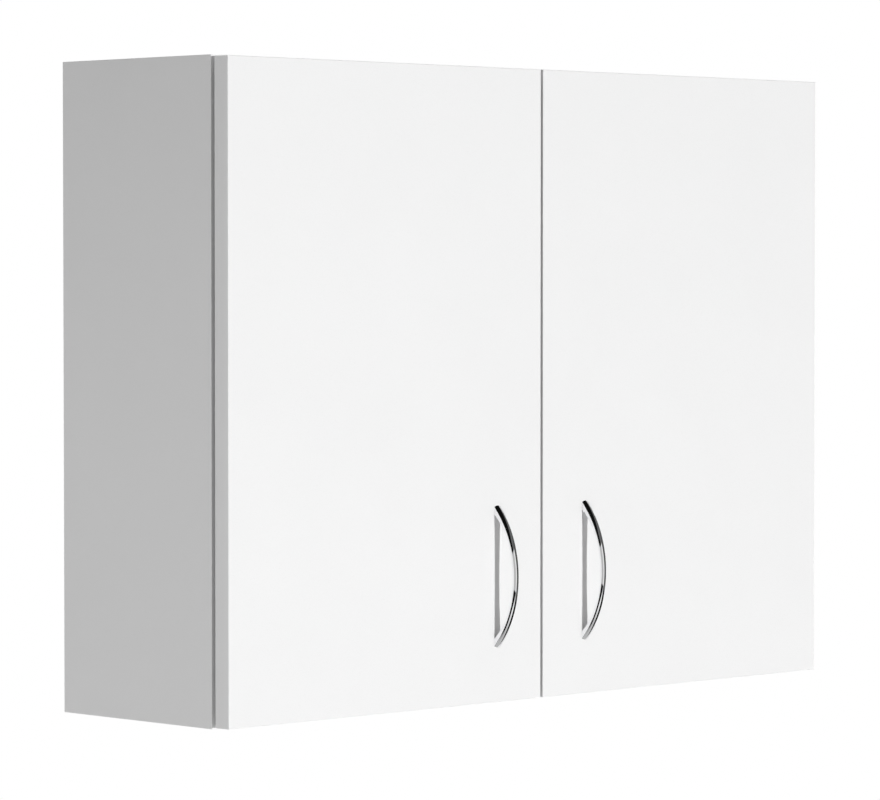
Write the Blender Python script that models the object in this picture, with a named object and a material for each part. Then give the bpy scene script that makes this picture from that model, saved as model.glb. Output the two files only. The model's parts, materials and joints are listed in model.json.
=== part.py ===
"""A two-door hanging wall cabinet, 800 mm wide and 600 mm high, for Blender 4.5.

Metres, +Z up, +Y towards the wall. The origin lies on the wall, half way along the cabinet and level
with its underside. The doors hang on concealed hinges and the carcass hangs on two adjustable hooks.
"""

import math

import bmesh
import bpy

# Carcass
WIDTH = 0.800
HEIGHT = 0.600
BODY_DEPTH = 0.205
BOARD = 0.016
GAP = 0.0003  # left between any two pieces that touch
OVERSHOOT = 0.002  # how far a cutter reaches past the face that it cuts
OVERLAP = 0.001  # how far a joined prism runs into its piece
SHARP = math.radians(35)  # edges that turn more than this stay sharp
HALF_WIDTH = WIDTH / 2
INNER_HALF = HALF_WIDTH - BOARD
BACK_THICKNESS = 0.003
BACK_SETBACK = 0.012  # from the wall to the back panel
GROOVE_DEPTH = 0.008

# Shelf
SHELF_BOTTOM = 0.292
SHELF_DEPTH = 0.173
SHELF_END_GAP = 0.001
SHELF_BACK_GAP = 0.002
PIN_RADIUS = 0.00235
PIN_HOLE_RADIUS = 0.00265
PIN_HOLE_DEPTH = 0.009
PIN_END_GAP = 0.0005  # behind a pin, in its hole
PIN_REACH = 0.0085
PIN_ROWS = (-0.168, -0.040)
PIN_PITCH = 0.032
PINS_EACH_WAY = 2

# Doors
DOOR_GAP = 0.004  # between the carcass and the back of a door
DOOR_THICKNESS = 0.018
DOOR_SIDE_REVEAL = 0.0005
DOOR_LEVEL_REVEAL = 0.0015  # at the top and the bottom
DOOR_MEETING_HALF_GAP = 0.0015
DOOR_BACK = -(BODY_DEPTH + DOOR_GAP)
DOOR_FRONT = DOOR_BACK - DOOR_THICKNESS
BUMPER_RADIUS = 0.004
BUMPER_THICKNESS = 0.0034
BUMPER_INSET = 0.018

# Bow handles
HANDLE_X = 0.060
HANDLE_Z = 0.120
HANDLE_PROJECTION = 0.0256
HANDLE_RADIUS = 0.1018
HANDLE_SWEEP = math.radians(46)
HANDLE_FOOT_TURN = math.radians(38)  # where the bow comes to its full width and thickness
HANDLE_MID_WIDTH = 0.0061
HANDLE_FOOT_WIDTH = 0.0085
HANDLE_MID_THICKNESS = 0.0028
HANDLE_FOOT_THICKNESS = 0.0058
HANDLE_CROWN = 1.3  # radius of the face's crown, as a share of the bow's width
HANDLE_EDGE_RADIUS = 0.0004
HANDLE_SCREW_SPACING = 0.124
SCREW_HOLE_RADIUS = 0.0019
SCREW_HOLE_DEPTH = 0.0027
SCREW_RADIUS = 0.0016
SCREW_HEAD_RADIUS = 0.0040
SCREW_HEAD_THICKNESS = 0.0023
SCREW_RECESS = (0.0021, 0.0005)  # reach and half width of the cross
SCREW_RECESS_DEPTH = 0.0012
DOOR_HOLE_RADIUS = 0.0023

# Concealed hinges. A hinge's places are (u, v): u from the carcass side inwards, v forward of the
# carcass front edge. The door turns about a point that no pin marks, as its two links make it do.
HINGE_HEIGHTS = {"lower": 0.096, "upper": 0.504}
DOOR_AXIS = (0.0085, 0.0115)
CUP_CENTRE_U = 0.0220
CUP_RADIUS = 0.01735
CUP_BORE_RADIUS = 0.01765
CUP_BORE_DEPTH = 0.0119
CUP_DEPTH = 0.0114
CUP_INNER_RADIUS = 0.0165
CUP_FLOOR = 0.0009
CUP_FLANGE = 0.0010
FLANGE_U = (0.0105, 0.0270, 0.0365)
FLANGE_HALF_WIDTHS = (0.0185, 0.0275)
FLANGE_CORNER = 0.004
OUTER_LINK_PATH = ((0.0210, -0.0040), (0.0111, 0.0085), (0.00768, 0.00606))
INNER_LINK_PATH = ((0.0280, -0.0090), (0.0193, 0.0130), (0.00858, 0.01270))
LINK_LAYER = (0.0003, 0.0046)
LINK_HALF_THICKNESS = 0.0008
LINK_EYE_RADIUS = 0.0026
LINK_BORE_RADIUS = 0.0015
HINGE_PIN_RADIUS = 0.0012
HINGE_PIN_REACH = 0.0059  # each way, half way into the arm's walls
ARM_BACK = -0.050
ARM_FRONT = -0.002
ARM_INNER_HALF = 0.0052
ARM_OUTER_HALF = 0.0067
ARM_FOOT_U = 0.0185
ARM_WEB_U = (0.0310, 0.0323)
ARM_NOSE = ((0.0255, -0.0015), (0.0340, -0.0015), (0.0340, -0.0111))  # cut off, clear of the open door
PLATE_TOP_U = 0.0182
PLATE_V = (-0.0520, -0.0445, -0.0295, -0.0200)
PLATE_HALF_WIDTHS = (0.0085, 0.0250)
PLATE_CORNER = 0.0025
PLATE_BLOCK_TOP_U = 0.0295
PLATE_BLOCK_V = (-0.0480, -0.0220)
PLATE_BLOCK_HALF = 0.0048

# Hangers in the top corners, and the plates on the wall that they hook over
HANGER_WIDTH = 0.036
HANGER_DEPTH = 0.036
HANGER_HEIGHT = 0.042
HOOK_THICKNESS = 0.0024
HOOK_WIDTH = 0.020
HOOK_UNDERSIDE = 0.5623
HOOK_FRONT = -0.042
HOOK_DROP = 0.013
HANGER_SLOT_ROOM = (0.0005, 0.003)  # beside the hook, and above and below it
HANGER_SCREW_RADIUS = 0.0034
HANGER_SCREW_LENGTH = 0.016
HANGER_SCREWS = {"height": 0.0125, "depth": -0.0105}  # above the hook's underside
HANGER_RECESS = (0.0024, 0.0006)
HANGER_RECESS_DEPTH = 0.003
WINDOW_ROOM = 0.004  # beside the hook, in the back panel
WINDOW_SPAN = (-0.018, 0.010)  # from the hook's underside
WALL_PLATE_THICKNESS = 0.0020
WALL_PLATE_BOTTOM = 0.500
WALL_PLATE_STEP = 0.0052
WALL_PLATE_LIP = 0.018
WALL_PLATE_WIDTH = 0.058
WALL_PLATE_INSET = 0.004
WALL_SCREW_RADIUS = 0.003
WALL_SCREW_RISE = 0.018
WALL_SCREW_OFFSET = 0.010

# Cam fittings that draw the top and the bottom up to the sides
CAM_RADIUS = 0.00735
CAM_BORE_RADIUS = 0.00765
CAM_DEPTH = 0.0122
CAM_BORE_DEPTH = 0.0128
CAM_SUNK = 0.0002
CAM_RECESS = (0.0045, 0.0009)
CAM_RECESS_DEPTH = 0.003
CAM_INSET = 0.034
CAM_ROWS = (-0.165, -0.045)

SIDES = {"left": -1, "right": 1}


def clear_scene():
    for old in list(bpy.data.objects):
        bpy.data.objects.remove(old)


def finish(name, colour, roughness, metallic=0.0):
    """A material of one colour, given as linear red, green and blue."""
    material = bpy.data.materials.new(name)
    material.use_nodes = True
    shader = material.node_tree.nodes["Principled BSDF"]
    shader.inputs["Base Color"].default_value = (*colour, 1.0)
    shader.inputs["Roughness"].default_value = roughness
    shader.inputs["Metallic"].default_value = metallic
    return material


def along_x(a, b, c):
    """An outline given in Y and Z, carried along X."""
    return (c, a, b)


def along_y(a, b, c):
    """An outline given in X and Z, carried along Y."""
    return (a, c, b)


def along_z(a, b, c):
    """An outline given in X and Y, carried along Z."""
    return (a, b, c)


def hinge_place(side, height):
    """Turns hinge places (u, v) and a height above the hinge's middle into points."""

    def place(u, v, w):
        return (SIDES[side] * (HALF_WIDTH - u), -(BODY_DEPTH + v), height + w)

    return place


def rectangle(a0, a1, b0, b1):
    return [(a0, b0), (a1, b0), (a1, b1), (a0, b1)]


def circle(a, b, radius, steps=24):
    turns = [2 * math.pi * i / steps for i in range(steps)]
    return [(a + radius * math.cos(t), b + radius * math.sin(t)) for t in turns]


def cross(a, b, reach, half_width):
    """A plus sign, for a screwdriver recess."""
    r, w = reach, half_width
    corners = [(r, -w), (r, w), (w, w), (w, r), (-w, r), (-w, w)]
    corners += [(-x, -y) for x, y in corners]
    return [(a + x, b + y) for x, y in corners]


def rounded(corners, radius, steps=4):
    """The outline of corners with each of them turned into an arc."""
    outline = []
    count = len(corners)
    for i, (x, y) in enumerate(corners):
        before, after = corners[i - 1], corners[(i + 1) % count]
        ways = []
        for ax, ay in (before, after):
            length = math.hypot(ax - x, ay - y)
            ways.append(((ax - x) / length, (ay - y) / length))
        (ux, uy), (wx, wy) = ways
        half = math.acos(max(-1.0, min(1.0, ux * wx + uy * wy))) / 2
        reach = radius / math.tan(half)
        bx, by = ux + wx, uy + wy
        norm = math.hypot(bx, by)
        centre = (x + bx / norm * radius / math.sin(half), y + by / norm * radius / math.sin(half))
        start = math.atan2(y + uy * reach - centre[1], x + ux * reach - centre[0])
        end = math.atan2(y + wy * reach - centre[1], x + wx * reach - centre[0])
        turn = (end - start + math.pi) % (2 * math.pi) - math.pi
        for k in range(steps + 1):
            t = start + turn * k / steps
            outline.append((centre[0] + radius * math.cos(t), centre[1] + radius * math.sin(t)))
    return outline


def strap(path, half, steps=5):
    """The outline of a bent strap of even thickness with round ends, along three points."""
    (x0, y0), (x1, y1), (x2, y2) = path
    first = math.atan2(y1 - y0, x1 - x0)
    second = math.atan2(y2 - y1, x2 - x1)
    bend = (second - first + math.pi) % (2 * math.pi) - math.pi
    middle = first + bend / 2
    mitre = half / math.cos(bend / 2)
    elbow = (math.cos(middle + math.pi / 2) * mitre, math.sin(middle + math.pi / 2) * mitre)

    def end(x, y, heading):
        turns = [heading + math.pi / 2 - math.pi * k / steps for k in range(steps + 1)]
        return [(x + half * math.cos(t), y + half * math.sin(t)) for t in turns]

    return (
        end(x0, y0, first + math.pi)
        + [(x1 + elbow[0], y1 + elbow[1])]
        + end(x2, y2, second)
        + [(x1 - elbow[0], y1 - elbow[1])]
    )


def add_prism(bm, outline, start, end, place):
    """Adds a closed solid: the outline carried from start to end."""
    near = [bm.verts.new(place(a, b, start)) for a, b in outline]
    far = [bm.verts.new(place(a, b, end)) for a, b in outline]
    faces = [bm.faces.new(near), bm.faces.new(reversed(far))]
    for i in range(len(outline)):
        faces.append(bm.faces.new((near[i - 1], far[i - 1], far[i], near[i])))
    bmesh.ops.recalc_face_normals(bm, faces=faces)


def solid(name, *prisms, material=None, parent=None):
    """An object made of one or more prisms, each (outline, start, end, place)."""
    bm = bmesh.new()
    for prism in prisms:
        add_prism(bm, *prism)
    mesh = bpy.data.meshes.new(name)
    bm.to_mesh(mesh)
    bm.free()
    return place_mesh(name, mesh, material, parent)


def place_mesh(name, mesh, material=None, parent=None):
    """An object whose mesh is given in world places, carried by its parent if it has one."""
    mesh.shade_smooth()
    mesh.set_sharp_from_angle(angle=SHARP)
    made = bpy.data.objects.new(name, mesh)
    bpy.context.scene.collection.objects.link(made)
    if material is not None:
        mesh.materials.append(material)
    if parent is not None:
        made.parent = parent
        made.matrix_parent_inverse.translation = -parent.location
    return made


def combine(piece, other, operation):
    """A Boolean of a piece and a guide object, which is left out of the model itself."""
    other.hide_render = True
    other.display_type = "WIRE"
    other.parent = piece.parent
    other.matrix_parent_inverse = piece.matrix_parent_inverse
    modifier = piece.modifiers.new(other.name, "BOOLEAN")
    modifier.operation = operation
    modifier.solver = "EXACT"
    modifier.object = other


def cut(piece, *prisms):
    combine(piece, solid(f"{piece.name}_cutter_{len(piece.modifiers)}", *prisms), "DIFFERENCE")


def join(piece, *prisms):
    combine(piece, solid(f"{piece.name}_added_{len(piece.modifiers)}", *prisms), "UNION")


def joint_empty(name, place):
    """An empty on a joint's axis, which carries the pieces that turn with it."""
    made = bpy.data.objects.new(name, None)
    bpy.context.scene.collection.objects.link(made)
    made.location = place
    return made


def groove_span():
    """Where the grooves for the back panel lie, front to back."""
    front = -(BACK_SETBACK + BACK_THICKNESS + GAP)
    return front, -(BACK_SETBACK - GAP)


def pin_heights():
    middle = SHELF_BOTTOM - GAP - PIN_RADIUS
    return [middle + PIN_PITCH * i for i in range(-PINS_EACH_WAY, PINS_EACH_WAY + 1)]


def make_side_panel(side, material):
    x_outer = SIDES[side] * HALF_WIDTH
    x_inner = SIDES[side] * INNER_HALF
    x_groove = SIDES[side] * (INNER_HALF + GROOVE_DEPTH)
    x_clear = SIDES[side] * (INNER_HALF - OVERSHOOT)
    x_hole = SIDES[side] * (INNER_HALF + PIN_HOLE_DEPTH)
    outline = rectangle(-BODY_DEPTH, 0, 0, HEIGHT)
    panel = solid(f"side_panel_{side}", (outline, x_outer, x_inner, along_x), material=material)
    front, back = groove_span()
    groove = rectangle(front, back, -OVERSHOOT, HEIGHT + OVERSHOOT)
    cut(panel, (groove, x_clear, x_groove, along_x))
    holes = [
        (circle(row, height, PIN_HOLE_RADIUS, 12), x_clear, x_hole, along_x)
        for row in PIN_ROWS
        for height in pin_heights()
    ]
    cut(panel, *holes)


def make_level_panel(name, low, high, inner, outer, material):
    """The top or the bottom: grooved on its inner face and bored for cams on its outer face."""
    half = INNER_HALF - GAP
    panel = solid(name, (rectangle(-half, half, -BODY_DEPTH, 0), low, high, along_z), material=material)
    inwards = math.copysign(1, inner - outer)
    front, back = groove_span()
    groove = rectangle(-half - OVERSHOOT, half + OVERSHOOT, front, back)
    cut(panel, (groove, inner + inwards * OVERSHOOT, inner - inwards * GROOVE_DEPTH, along_z))
    start, end = outer - inwards * OVERSHOOT, outer + inwards * CAM_BORE_DEPTH
    bores = [
        (circle(x, y, CAM_BORE_RADIUS), start, end, along_z)
        for x in (-(half - CAM_INSET), half - CAM_INSET)
        for y in CAM_ROWS
    ]
    cut(panel, *bores)


def make_cams(material):
    half = INNER_HALF - GAP - CAM_INSET
    for level, outer, inwards in (("bottom", 0.0, 1), ("top", HEIGHT, -1)):
        for side, sign in SIDES.items():
            for row, y in zip(("front", "rear"), CAM_ROWS):
                face = outer + inwards * CAM_SUNK
                cam = solid(
                    f"cam_{level}_{side}_{row}",
                    (circle(sign * half, y, CAM_RADIUS), face, face + inwards * CAM_DEPTH, along_z),
                    material=material,
                )
                recess = cross(sign * half, y, *CAM_RECESS)
                start, end = face - inwards * OVERSHOOT, face + inwards * CAM_RECESS_DEPTH
                cut(cam, (recess, start, end, along_z))


def make_back_panel(material):
    half = INNER_HALF + GROOVE_DEPTH - GAP
    edge = BOARD - GROOVE_DEPTH + GAP
    front = -(BACK_SETBACK + BACK_THICKNESS)
    outline = rectangle(-half, half, edge, HEIGHT - edge)
    panel = solid("back_panel", (outline, front, -BACK_SETBACK, along_y), material=material)
    windows = []
    for sign in SIDES.values():
        middle = sign * hook_middle()
        reach = HOOK_WIDTH / 2 + WINDOW_ROOM
        low, high = (HOOK_UNDERSIDE + offset for offset in WINDOW_SPAN)
        window = rectangle(middle - reach, middle + reach, low, high)
        windows.append((window, front - OVERSHOOT, -BACK_SETBACK + OVERSHOOT, along_y))
    cut(panel, *windows)


def make_shelf(board, steel):
    half = INNER_HALF - SHELF_END_GAP
    back = -(BACK_SETBACK + BACK_THICKNESS + SHELF_BACK_GAP)
    outline = rectangle(-half, half, back - SHELF_DEPTH, back)
    solid("shelf", (outline, SHELF_BOTTOM, SHELF_BOTTOM + BOARD, along_z), material=board)
    height = SHELF_BOTTOM - GAP - PIN_RADIUS
    for side, sign in SIDES.items():
        for row, y in zip(("front", "rear"), PIN_ROWS):
            inner = sign * (INNER_HALF - PIN_REACH)
            outer = sign * (INNER_HALF + PIN_HOLE_DEPTH - PIN_END_GAP)
            pin = (circle(y, height, PIN_RADIUS, 16), inner, outer, along_x)
            solid(f"shelf_pin_{side}_{row}", pin, material=steel)


def make_door(side, axis, material):
    sign = SIDES[side]
    outer = sign * (HALF_WIDTH - DOOR_SIDE_REVEAL)
    inner = sign * DOOR_MEETING_HALF_GAP
    outline = rectangle(inner, outer, DOOR_LEVEL_REVEAL, HEIGHT - DOOR_LEVEL_REVEAL)
    door = solid(f"door_{side}", (outline, DOOR_FRONT, DOOR_BACK, along_y), material=material, parent=axis)
    x_cup = sign * (HALF_WIDTH - CUP_CENTRE_U)
    bores = [
        (circle(x_cup, z, CUP_BORE_RADIUS, 32), DOOR_BACK + OVERSHOOT, DOOR_BACK - CUP_BORE_DEPTH, along_y)
        for z in HINGE_HEIGHTS.values()
    ]
    cut(door, *bores)
    start, end = DOOR_BACK + OVERSHOOT, DOOR_FRONT - OVERSHOOT
    for z in screw_heights():
        cut(door, (circle(sign * HANDLE_X, z, DOOR_HOLE_RADIUS, 12), start, end, along_y))


def screw_heights():
    return (HANDLE_Z - HANDLE_SCREW_SPACING / 2, HANDLE_Z + HANDLE_SCREW_SPACING / 2)


def make_bumpers(side, axis, material):
    """Soft buttons between the door's free corners and the edges of the top and the bottom."""
    x = SIDES[side] * BUMPER_INSET
    front = DOOR_BACK + GAP
    for level, z in (("bottom", BOARD / 2), ("top", HEIGHT - BOARD / 2)):
        button = (circle(x, z, BUMPER_RADIUS, 16), front, front + BUMPER_THICKNESS, along_y)
        solid(f"bumper_{side}_{level}", button, material=material, parent=axis)


def bow_section(width, thick, corner_steps=2, crown_steps=5):
    """The bow's cross-section, (across, out): a flat back, upright sides and a crowned face."""
    half, crown, edge = width / 2, width * HANDLE_CROWN, HANDLE_EDGE_RADIUS
    rise = math.sqrt((crown - edge) ** 2 - (half - edge) ** 2)
    shoulder = math.atan2(rise, half - edge)
    arcs = [
        (half - edge, edge, edge, -math.pi / 2, 0, corner_steps),
        (half - edge, thick - crown + rise, edge, 0, shoulder, corner_steps),
        (0, thick - crown, crown, shoulder, math.pi - shoulder, crown_steps),
        (edge - half, thick - crown + rise, edge, math.pi - shoulder, math.pi, corner_steps),
        (edge - half, edge, edge, math.pi, 3 * math.pi / 2, corner_steps),
    ]
    points = []
    for i, (x, y, radius, start, end, steps) in enumerate(arcs):
        shared = 1 if i in (2, 3) else 0  # the crown starts and ends where its edges do
        for k in range(shared, steps + 1):
            t = start + (end - start) * k / steps
            points.append((x + radius * math.cos(t), y + radius * math.sin(t)))
    return points


def make_handle(side, axis, material, steps_along=26):
    """A bow on an arc that meets the door at both ends, a little wider and thicker at its feet."""
    x_middle = SIDES[side] * HANDLE_X
    foot = DOOR_FRONT - GAP
    arc_centre = DOOR_FRONT - HANDLE_PROJECTION + HANDLE_RADIUS
    bm = bmesh.new()
    rings = []
    for i in range(steps_along + 1):
        turn = HANDLE_SWEEP * (2 * i / steps_along - 1)
        outwards = min(1.0, abs(turn) / HANDLE_FOOT_TURN)
        width = HANDLE_MID_WIDTH + (HANDLE_FOOT_WIDTH - HANDLE_MID_WIDTH) * outwards**2
        thick = HANDLE_MID_THICKNESS + (HANDLE_FOOT_THICKNESS - HANDLE_MID_THICKNESS) * outwards**4
        ring = []
        for across, out in bow_section(width, thick):
            radius = HANDLE_RADIUS - thick + out
            y = arc_centre - radius * math.cos(turn)
            ring.append(bm.verts.new((x_middle + across, y, HANDLE_Z + radius * math.sin(turn))))
        rings.append(ring)
    for before, after in zip(rings, rings[1:]):
        bmesh.ops.bridge_loops(bm, edges=loop_edges(bm, before) + loop_edges(bm, after))
    for ring in (rings[0], rings[-1]):
        bm.faces.new(ring)
    bmesh.ops.recalc_face_normals(bm, faces=bm.faces)
    mesh = bpy.data.meshes.new(f"handle_{side}")
    bm.to_mesh(mesh)
    bm.free()
    handle = place_mesh(f"handle_{side}", mesh, material, axis)
    half, reach = HANDLE_FOOT_WIDTH, HANDLE_SCREW_SPACING
    behind = rectangle(x_middle - half, x_middle + half, HANDLE_Z - reach, HANDLE_Z + reach)
    cut(handle, (behind, foot, foot + HANDLE_PROJECTION, along_y))
    start, end = foot + OVERSHOOT, foot - SCREW_HOLE_DEPTH
    for z in screw_heights():
        cut(handle, (circle(x_middle, z, SCREW_HOLE_RADIUS, 12), start, end, along_y))


def loop_edges(bm, ring):
    """The edges of a closed loop of vertices, made where they aren't there yet."""
    edges = []
    for i in range(len(ring)):
        pair = (ring[i - 1], ring[i])
        edges.append(bm.edges.get(pair) or bm.edges.new(pair))
    return edges


def make_handle_screws(side, axis, material):
    x = SIDES[side] * HANDLE_X
    tip = DOOR_FRONT - SCREW_HOLE_DEPTH
    head = DOOR_BACK + GAP
    top = head + SCREW_HEAD_THICKNESS
    for level, z in zip(("lower", "upper"), screw_heights()):
        head_prism = (circle(x, z, SCREW_HEAD_RADIUS, 16), head, top, along_y)
        screw = solid(f"handle_screw_{side}_{level}", head_prism, material=material, parent=axis)
        join(screw, (circle(x, z, SCREW_RADIUS, 12), tip, head + OVERLAP, along_y))
        cut(screw, (cross(x, z, *SCREW_RECESS), top - SCREW_RECESS_DEPTH, top + OVERSHOOT, along_y))


def make_hinge_cup(side, level, axis, material):
    """The cup in the door's bore, with a flange on the door's back."""
    place = hinge_place(side, HINGE_HEIGHTS[level])

    def facing_door(u, w, v):
        return place(u, v, w)

    rear = DOOR_GAP - GAP
    near, shoulder, far = FLANGE_U
    narrow, wide = FLANGE_HALF_WIDTHS
    lower_half = [(near, -narrow), (shoulder, -wide), (far, -wide)]
    corners = lower_half + [(u, -w) for u, w in reversed(lower_half)]
    flange = (rounded(corners, FLANGE_CORNER), rear - CUP_FLANGE, rear, facing_door)
    cup = solid(f"hinge_cup_{side}_{level}", flange, material=material, parent=axis)
    bottom = rear + CUP_DEPTH
    join(cup, (circle(CUP_CENTRE_U, 0, CUP_RADIUS, 32), rear - CUP_FLANGE / 2, bottom, facing_door))
    bowl = circle(CUP_CENTRE_U, 0, CUP_INNER_RADIUS, 32)
    cut(cup, (bowl, rear - CUP_FLANGE - OVERSHOOT, bottom - CUP_FLOOR, facing_door))


def make_hinge_arm(side, level, material):
    """A channel that straddles its mounting plate and carries the pins of the two links."""
    place = hinge_place(side, HINGE_HEIGHTS[level])

    def lengthwise(u, w, v):
        return place(u, v, w)

    inner, outer = ARM_INNER_HALF, ARM_OUTER_HALF
    web_low, web_high = ARM_WEB_U
    half_profile = [(ARM_FOOT_U, inner), (web_low, inner)]
    channel = [(ARM_FOOT_U, -outer), (web_high, -outer), (web_high, outer), (ARM_FOOT_U, outer)]
    channel += half_profile + [(u, -w) for u, w in reversed(half_profile)]
    prism = (channel, ARM_BACK, ARM_FRONT, lengthwise)
    arm = solid(f"hinge_arm_{side}_{level}", prism, material=material)
    pins = [
        (circle(*path[0], HINGE_PIN_RADIUS, 16), -HINGE_PIN_REACH, HINGE_PIN_REACH, place)
        for path in (OUTER_LINK_PATH, INNER_LINK_PATH)
    ]
    join(arm, *pins)
    cut(arm, (ARM_NOSE, -outer - OVERSHOOT, outer + OVERSHOOT, place))


def make_mounting_plate(side, level, material):
    """A cross-shaped plate on the carcass side, with the block that the arm slides onto."""
    place = hinge_place(side, HINGE_HEIGHTS[level])

    def off_the_side(v, w, u):
        return place(u, v, w)

    rear, wing_rear, wing_front, front = PLATE_V
    narrow, wide = PLATE_HALF_WIDTHS
    lower_half = [(rear, -narrow), (wing_rear, -narrow), (wing_rear, -wide)]
    lower_half += [(wing_front, -wide), (wing_front, -narrow), (front, -narrow)]
    corners = lower_half + [(v, -w) for v, w in reversed(lower_half)]
    base = (rounded(corners, PLATE_CORNER, 3), BOARD + GAP, PLATE_TOP_U, off_the_side)
    plate = solid(f"hinge_plate_{side}_{level}", base, material=material)
    block = rectangle(*PLATE_BLOCK_V, -PLATE_BLOCK_HALF, PLATE_BLOCK_HALF)
    join(plate, (block, PLATE_TOP_U - OVERLAP, PLATE_BLOCK_TOP_U, off_the_side))


def make_hinge_link(name, side, level, path, layer, material):
    """A bent strap with an eye at the arm's pin. Its other end lies free in the cup."""
    place = hinge_place(side, HINGE_HEIGHTS[level])
    axis = joint_empty(f"{name}_axis_{side}_{level}", place(*path[0], 0))
    low, high = layer
    strip = (strap(path, LINK_HALF_THICKNESS), low, high, place)
    link = solid(f"{name}_{side}_{level}", strip, material=material, parent=axis)
    join(link, (circle(*path[0], LINK_EYE_RADIUS, 20), low, high, place))
    cut(link, (circle(*path[0], LINK_BORE_RADIUS, 16), low - OVERSHOOT, high + OVERSHOOT, place))


def make_hinges(side, door_axis, steel):
    low, high = LINK_LAYER
    for level in HINGE_HEIGHTS:
        make_hinge_cup(side, level, door_axis, steel)
        make_hinge_arm(side, level, steel)
        make_mounting_plate(side, level, steel)
        make_hinge_link("hinge_outer_link", side, level, OUTER_LINK_PATH, (low, high), steel)
        make_hinge_link("hinge_inner_link", side, level, INNER_LINK_PATH, (-high, -low), steel)


def hook_middle():
    """How far each hook's middle is from the cabinet's middle."""
    return INNER_HALF - GAP - HANGER_WIDTH / 2


def make_hanger(side, plastic, steel):
    """A housing in the top corner, with its hook and the two screws that set height and depth."""
    sign = SIDES[side]
    middle = sign * hook_middle()
    half = HANGER_WIDTH / 2
    back = -(BACK_SETBACK + BACK_THICKNESS + GAP)
    front = back - HANGER_DEPTH
    top = HEIGHT - BOARD - GAP
    outline = rectangle(middle - half, middle + half, top - HANGER_HEIGHT, top)
    housing = solid(f"hanger_housing_{side}", (outline, front, back, along_y), material=plastic)
    hook_top = HOOK_UNDERSIDE + HOOK_THICKNESS
    beside, above = HANGER_SLOT_ROOM
    slot_half = HOOK_WIDTH / 2 + beside
    slot = rectangle(middle - slot_half, middle + slot_half, HOOK_UNDERSIDE - above, hook_top + above)
    cut(housing, (slot, HOOK_FRONT - OVERSHOOT, back + OVERSHOOT, along_y))
    tip = front + HANGER_SCREW_LENGTH
    for purpose, rise in HANGER_SCREWS.items():
        z = HOOK_UNDERSIDE + rise
        bore = circle(middle, z, HANGER_SCREW_RADIUS + GAP, 16)
        cut(housing, (bore, front - OVERSHOOT, tip + GAP, along_y))
        body = (circle(middle, z, HANGER_SCREW_RADIUS, 16), front, tip, along_y)
        screw = solid(f"hanger_{purpose}_screw_{side}", body, material=steel)
        recess = cross(middle, z, *HANGER_RECESS)
        cut(screw, (recess, front - OVERSHOOT, front + HANGER_RECESS_DEPTH, along_y))
    tongue_back = -WALL_PLATE_THICKNESS - GAP
    tongue_front = tongue_back - HOOK_THICKNESS
    profile = [(tongue_back, HOOK_UNDERSIDE - HOOK_DROP), (tongue_back, hook_top), (HOOK_FRONT, hook_top)]
    profile += [(HOOK_FRONT, HOOK_UNDERSIDE), (tongue_front, HOOK_UNDERSIDE)]
    profile += [(tongue_front, HOOK_UNDERSIDE - HOOK_DROP)]
    span = (middle - HOOK_WIDTH / 2, middle + HOOK_WIDTH / 2)
    solid(f"hanger_hook_{side}", (profile, *span, along_x), material=steel)


def make_wall_plate(side, material):
    """A plate screwed to the wall. Its upper part stands forward, and the hook drops behind it."""
    middle = SIDES[side] * hook_middle()
    thickness = WALL_PLATE_THICKNESS
    step = WALL_PLATE_STEP
    top = HOOK_UNDERSIDE - GAP
    bend = top - WALL_PLATE_LIP
    profile = [(0, WALL_PLATE_BOTTOM), (0, bend), (-step, bend + step), (-step, top)]
    profile += [(-step - thickness, top), (-step - thickness, bend + step - thickness / 2)]
    profile += [(-thickness, bend - thickness / 2), (-thickness, WALL_PLATE_BOTTOM)]
    inner = SIDES[side] * (INNER_HALF - WALL_PLATE_INSET)
    outer = inner - SIDES[side] * WALL_PLATE_WIDTH
    plate = solid(f"wall_plate_{side}", (profile, inner, outer, along_x), material=material)
    height = WALL_PLATE_BOTTOM + WALL_SCREW_RISE
    for x in (middle - WALL_SCREW_OFFSET, middle + WALL_SCREW_OFFSET):
        hole = circle(x, height, WALL_SCREW_RADIUS, 12)
        cut(plate, (hole, -thickness - OVERSHOOT, OVERSHOOT, along_y))


def main():
    clear_scene()
    board = finish("white_melamine", (0.83, 0.83, 0.83), 0.35)
    hardboard = finish("white_hardboard", (0.78, 0.78, 0.78), 0.5)
    chrome = finish("chrome", (0.85, 0.85, 0.86), 0.06, 1.0)
    steel = finish("nickel_plated_steel", (0.62, 0.60, 0.57), 0.25, 1.0)
    zinc = finish("zinc_plated_steel", (0.55, 0.56, 0.58), 0.35, 1.0)
    plastic = finish("white_plastic", (0.75, 0.75, 0.74), 0.45)
    silicone = finish("clear_silicone", (0.60, 0.60, 0.60), 0.4)

    for side in SIDES:
        make_side_panel(side, board)
    make_level_panel("bottom_panel", 0, BOARD, BOARD, 0, board)
    make_level_panel("top_panel", HEIGHT - BOARD, HEIGHT, HEIGHT - BOARD, HEIGHT, board)
    make_back_panel(hardboard)
    make_shelf(board, zinc)
    make_cams(zinc)
    for side in SIDES:
        place = hinge_place(side, 0)
        axis = joint_empty(f"door_axis_{side}", place(*DOOR_AXIS, HEIGHT / 2))
        make_door(side, axis, board)
        make_bumpers(side, axis, silicone)
        make_handle(side, axis, chrome)
        make_handle_screws(side, axis, zinc)
        make_hinges(side, axis, steel)
        make_hanger(side, plastic, zinc)
        make_wall_plate(side, zinc)


main()
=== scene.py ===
import json
import math

import bmesh
import bpy
from mathutils import Matrix, Vector


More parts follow.
